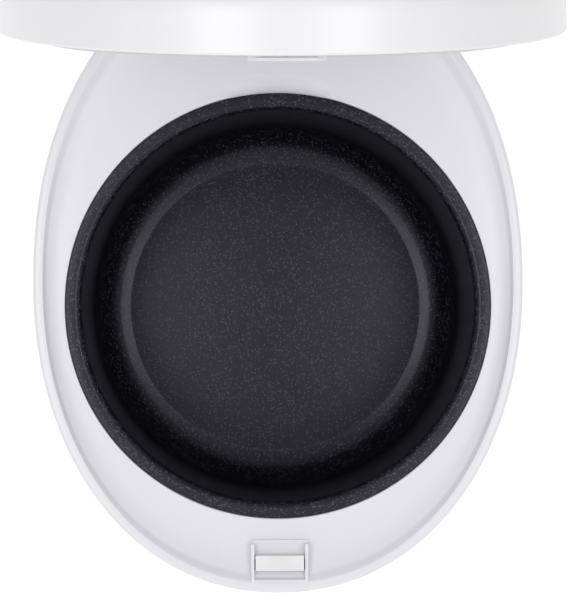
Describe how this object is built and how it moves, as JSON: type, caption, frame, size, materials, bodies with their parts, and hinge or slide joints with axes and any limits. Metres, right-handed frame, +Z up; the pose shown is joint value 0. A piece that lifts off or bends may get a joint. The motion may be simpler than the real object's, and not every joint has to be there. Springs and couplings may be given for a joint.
{
  "type": "rice cooker",
  "caption": "Oval electric rice cooker standing with its hinged lid open, with a lift-out round non-stick pot, a latch pocket in the rim and a sprung release button in front.",
  "frame": {"origin": "centre of the whole object's outline in plan, lid open, at the height of the surface the feet stand on", "axes": "+Z up, +Y towards the hinge at the rear, -Y towards the latch and controls at the front, +X to the right as seen from the front"},
  "size_m": [0.27, 0.3556, 0.5251],
  "materials": {
    "shell_white": "smooth gloss, faintly cool white",
    "inner_white": "satin moulded plastic",
    "panel_grey": "satin grey film over plastic",
    "window_black": "smoked gloss window",
    "non_stick": "charcoal non-stick coating with a fine sparkle",
    "sheet_metal": "satin sheet",
    "cast_metal": "machined casting",
    "bracket_steel": "zinc plated",
    "screw_steel": "nickel plated",
    "spring_steel": "drawn wire",
    "pin_brass": "bare",
    "silicone": "translucent grey silicone, satin",
    "foot_rubber": "matt",
    "board_green": "solder-masked glass epoxy",
    "part_black": "moulded",
    "part_blue": "moulded",
    "lcd_grey": "display cell in its frame",
    "heater_mica": "mica band"
  },
  "bodies": {
    "casing": {"outer_shell": "shell_white", "top_frame": "shell_white", "hinge_cowl": "shell_white", "base_plate": "inner_white", "foot_front_left": "foot_rubber", "foot_front_right": "foot_rubber", "foot_rear_left": "foot_rubber", "foot_rear_right": "foot_rubber", "base_screw_front_left": "screw_steel", "base_screw_front_right": "screw_steel", "base_screw_rear_left": "screw_steel", "base_screw_rear_right": "screw_steel", "inner_drum": "sheet_metal", "drum_post_1": "inner_white", "drum_post_2": "inner_white", "drum_post_3": "inner_white", "heating_plate": "cast_metal", "sensor_bracket": "bracket_steel", "sensor_spring": "spring_steel", "side_heater": "heater_mica", "thermal_fuse": "part_black", "power_board": "board_green", "power_transformer": "part_black", "power_relay": "part_blue", "power_capacitor": "part_black", "inlet_housing": "part_black", "inlet_pin_live": "pin_brass", "inlet_pin_neutral": "pin_brass", "inlet_pin_earth": "pin_brass", "display_board": "board_green", "lcd_module": "lcd_grey", "control_panel": "panel_grey", "display_window": "window_black", "latch_housing": "shell_white", "latch_pin": "screw_steel", "latch_spring": "spring_steel", "hinge_pin_left": "screw_steel", "hinge_pin_right": "screw_steel", "hinge_spring_left": "spring_steel", "hinge_spring_right": "spring_steel"},
    "lid": {"lid_cover": "shell_white", "lid_liner": "inner_white", "lid_catch": "shell_white", "inner_lid_plate": "sheet_metal", "lid_gasket": "silicone", "plate_knob": "silicone", "lid_sensor": "sheet_metal", "vent_cup": "inner_white", "vent_gasket": "silicone"},
    "pot": {"inner_pot": "non_stick"},
    "vent_cap": {"steam_vent_cap": "shell_white"},
    "release": {"release_button": "shell_white"},
    "hook": {"latch_hook": "shell_white"},
    "sensor": {"sensor_plunger": "sheet_metal"},
    "menu_button": {"menu_button": "shell_white"},
    "timer_button": {"timer_button": "shell_white"},
    "keep_warm_button": {"keep_warm_button": "shell_white"},
    "start_button": {"start_button": "shell_white"}
  },
  "joints": [
    {"name": "lid_hinge", "type": "hinge", "parent": "casing", "child": "lid", "pos_m": [0, 0.15485, 0.1997], "axis": [-1, 0, 0], "range_deg": [-78.5, 0], "stiffness_Nm_per_rad": 0.9, "springref_deg": 25.78},
    {"name": "pot_lift", "type": "slide", "parent": "casing", "child": "pot", "axis": [0, 0, 1], "range_m": [0, 0.155]},
    {"name": "sensor_travel", "type": "slide", "parent": "casing", "child": "sensor", "axis": [0, 0, 1], "range_m": [-0.003, 0], "stiffness_N_per_m": 400, "springref_m": 0.004, "deforming": ["sensor_spring"]},
    {"name": "release_press", "type": "slide", "parent": "casing", "child": "release", "axis": [0, 1, 0], "range_m": [0, 0.003], "stiffness_N_per_m": 600, "springref_m": -0.003},
    {"name": "latch_pivot", "type": "hinge", "parent": "casing", "child": "hook", "pos_m": [0, -0.16085, 0.174], "axis": [1, 0, 0], "range_deg": [0, 9.6]},
    {"name": "vent_cap_lift", "type": "slide", "parent": "lid", "child": "vent_cap", "axis": [0, 0.9799, 0.1994], "range_m": [0, 0.03]},
    {"name": "menu_press", "type": "slide", "parent": "casing", "child": "menu_button", "axis": [0, 1, 0], "range_m": [0, 0.0012], "stiffness_N_per_m": 800, "springref_m": -0.001},
    {"name": "timer_press", "type": "slide", "parent": "casing", "child": "timer_button", "axis": [0, 1, 0], "range_m": [0, 0.0012], "stiffness_N_per_m": 800, "springref_m": -0.001},
    {"name": "keep_warm_press", "type": "slide", "parent": "casing", "child": "keep_warm_button", "axis": [0, 1, 0], "range_m": [0, 0.0012], "stiffness_N_per_m": 800, "springref_m": -0.001},
    {"name": "start_press", "type": "slide", "parent": "casing", "child": "start_button", "axis": [0, 1, 0], "range_m": [0, 0.0012], "stiffness_N_per_m": 800, "springref_m": -0.001}
  ],
  "couplings": [
    {"joint": "latch_pivot", "follows": "release_press", "rad_per_m": 55.556}
  ]
}
